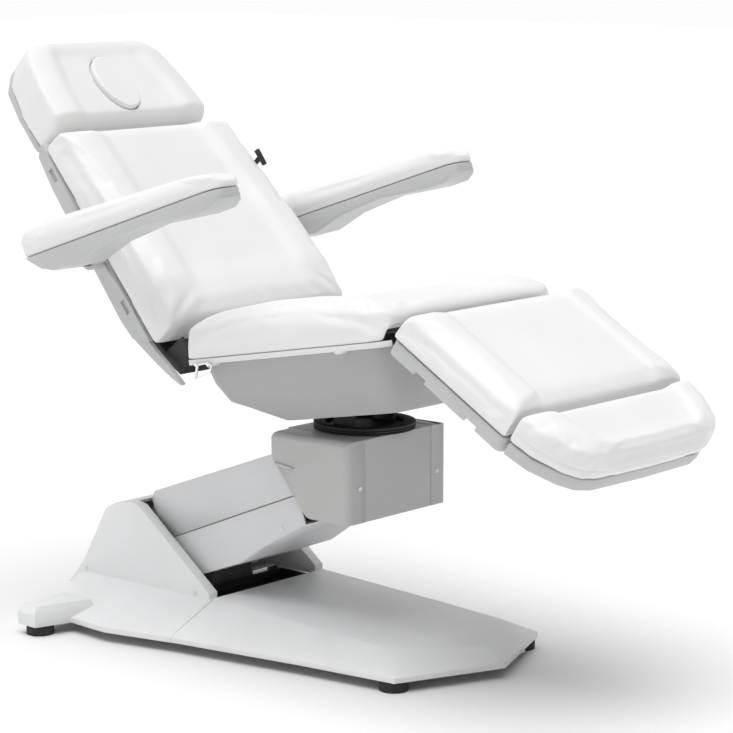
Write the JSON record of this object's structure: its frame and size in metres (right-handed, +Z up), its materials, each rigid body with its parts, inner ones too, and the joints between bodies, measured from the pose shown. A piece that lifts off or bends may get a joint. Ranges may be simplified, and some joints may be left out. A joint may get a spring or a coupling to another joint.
{
  "type": "facial treatment bed",
  "caption": "Motorised treatment couch: padded seat, reclining back, headrest with face hole, leg and foot sections and armrests on a swivelling lift arm.",
  "frame": {"origin": "floor level under the middle of the couch's overall length and width", "axes": "+X towards the foot end, +Y towards the side with the hand-control hook, +Z up"},
  "size_m": [1.7017, 0.86, 1.2968],
  "materials": {
    "white_upholstery": "fine-grained white artificial leather",
    "light_grey_cover": "satin light grey moulded cover",
    "grey_shell": "satin grey moulded shell",
    "white_plastic": "satin white moulding",
    "painted_steel": "grey powder coat",
    "black_steel": "black powder coat",
    "bright_steel": "bright steel",
    "chrome_wire": "chrome plated wire",
    "black_rubber": "black rubber",
    "black_plastic": "black moulding"
  },
  "bodies": {
    "base": {"base_frame": "painted_steel", "base_front_cover": "light_grey_cover", "tower_cover": "light_grey_cover", "base_feet": "black_rubber", "base_cover_screws": "white_plastic", "control_box": "black_plastic", "cable_tray": "black_plastic", "power_inlet": "black_plastic", "lift_pivot_pins": "bright_steel"},
    "lift_arm": {"lift_arm_frame": "painted_steel", "arm_upper_cover": "light_grey_cover", "arm_lower_cover": "light_grey_cover", "arm_cover_clips": "white_plastic", "lift_actuator": "black_plastic"},
    "levelling_link": {"levelling_link": "painted_steel"},
    "lift_rod": {"lift_actuator_rod": "bright_steel"},
    "lift_head": {"head_frame": "painted_steel", "head_side_cover_near": "light_grey_cover", "head_side_cover_far": "light_grey_cover", "head_front_cover": "light_grey_cover", "head_pins": "bright_steel", "head_cover_screws": "white_plastic", "swivel_bearing": "bright_steel"},
    "swivel": {"swivel_table": "black_steel", "swivel_bellows": "black_rubber"},
    "seat": {"seat_frame": "painted_steel", "seat_hinge_pins": "bright_steel", "seat_under_shell": "grey_shell", "seat_trim": "white_plastic", "seat_cushion": "white_upholstery", "back_actuator": "black_plastic", "leg_actuator": "black_plastic", "side_loop_near": "chrome_wire", "side_loop_far": "chrome_wire"},
    "back_rod": {"back_actuator_rod": "bright_steel"},
    "leg_rod": {"leg_actuator_rod": "bright_steel"},
    "back": {"back_frame": "black_steel", "back_pins": "bright_steel", "back_tray": "grey_shell", "back_gusset": "black_plastic", "back_cushion": "white_upholstery", "armrest_pivots": "black_plastic", "side_hook": "black_plastic"},
    "armrest_near": {"armrest_shell_near": "grey_shell", "armrest_pad_near": "white_upholstery"},
    "armrest_far": {"armrest_shell_far": "grey_shell", "armrest_pad_far": "white_upholstery"},
    "headrest": {"headrest_frame": "painted_steel", "headrest_tray": "grey_shell", "headrest_cushion": "white_upholstery"},
    "face_plug": {"face_hole_plug": "white_upholstery"},
    "leg": {"leg_frame": "painted_steel", "leg_drive_pin": "bright_steel", "leg_tray": "grey_shell", "leg_cushion": "white_upholstery"},
    "foot": {"foot_frame": "painted_steel", "foot_tray": "grey_shell", "foot_cushion": "white_upholstery"}
  },
  "joints": [
    {"name": "lift_raise", "type": "hinge", "parent": "base", "child": "lift_arm", "pos_m": [-0.4462, 0, 0.205], "axis": [0, -1, 0], "range_deg": [-15, 14]},
    {"name": "levelling_link_swing", "type": "hinge", "parent": "base", "child": "levelling_link", "pos_m": [-0.4462, 0, 0.247], "axis": [0, -1, 0], "range_deg": [-16, 15]},
    {"name": "head_level", "type": "hinge", "parent": "lift_arm", "child": "lift_head", "pos_m": [0.04244, 0, 0.38285], "axis": [0, -1, 0], "range_deg": [-15, 16]},
    {"name": "lift_rod_push", "type": "slide", "parent": "lift_arm", "child": "lift_rod", "axis": [0.9397, 0, 0.342], "range_m": [-0.022, 0.022]},
    {"name": "swivel_turn", "type": "hinge", "parent": "lift_head", "child": "swivel", "pos_m": [0.0668, 0, 0.49], "axis": [0, 0, 1], "range_deg": [-120, 120]},
    {"name": "seat_tilt", "type": "hinge", "parent": "swivel", "child": "seat", "pos_m": [0.0668, 0, 0.6], "axis": [0, -1, 0], "range_deg": [-10, 2]},
    {"name": "back_recline", "type": "hinge", "parent": "seat", "child": "back", "pos_m": [-0.2162, 0, 0.668], "axis": [0, 1, 0], "range_deg": [-58, 18]},
    {"name": "back_rod_push", "type": "slide", "parent": "seat", "child": "back_rod", "axis": [0.9848, 0, 0.1736], "range_m": [-0.03, 0.085]},
    {"name": "leg_lower", "type": "hinge", "parent": "seat", "child": "leg", "pos_m": [0.3588, 0, 0.76], "axis": [0, 1, 0], "range_deg": [-41, 40]},
    {"name": "leg_rod_push", "type": "slide", "parent": "seat", "child": "leg_rod", "axis": [0.9848, 0, 0.1736], "range_m": [-0.045, 0.045]},
    {"name": "foot_extend", "type": "slide", "parent": "leg", "child": "foot", "axis": [0.8572, 0, -0.515], "range_m": [0, 0.12]},
    {"name": "headrest_tilt", "type": "hinge", "parent": "back", "child": "headrest", "pos_m": [-0.7002, 0, 1.091], "axis": [0, 1, 0], "range_deg": [-40, 18]},
    {"name": "face_plug_out", "type": "slide", "parent": "headrest", "child": "face_plug", "axis": [0.7071, 0, 0.7071], "range_m": [0, 0.13]},
    {"name": "armrest_near_raise", "type": "hinge", "parent": "back", "child": "armrest_near", "pos_m": [-0.4702, -0.381, 0.841], "axis": [0, -1, 0], "range_deg": [-70, 60]},
    {"name": "armrest_far_raise", "type": "hinge", "parent": "back", "child": "armrest_far", "pos_m": [-0.4702, 0.381, 0.841], "axis": [0, -1, 0], "range_deg": [-70, 60]}
  ],
  "couplings": [
    {"joint": "levelling_link_swing", "follows": "lift_raise", "ratio": 1},
    {"joint": "head_level", "follows": "lift_raise", "ratio": -1},
    {"joint": "lift_rod_push", "follows": "lift_raise", "m_per_rad": -0.0746},
    {"joint": "back_rod_push", "follows": "back_recline", "m_per_rad": -0.0812},
    {"joint": "leg_rod_push", "follows": "leg_lower", "m_per_rad": -0.0561}
  ]
}
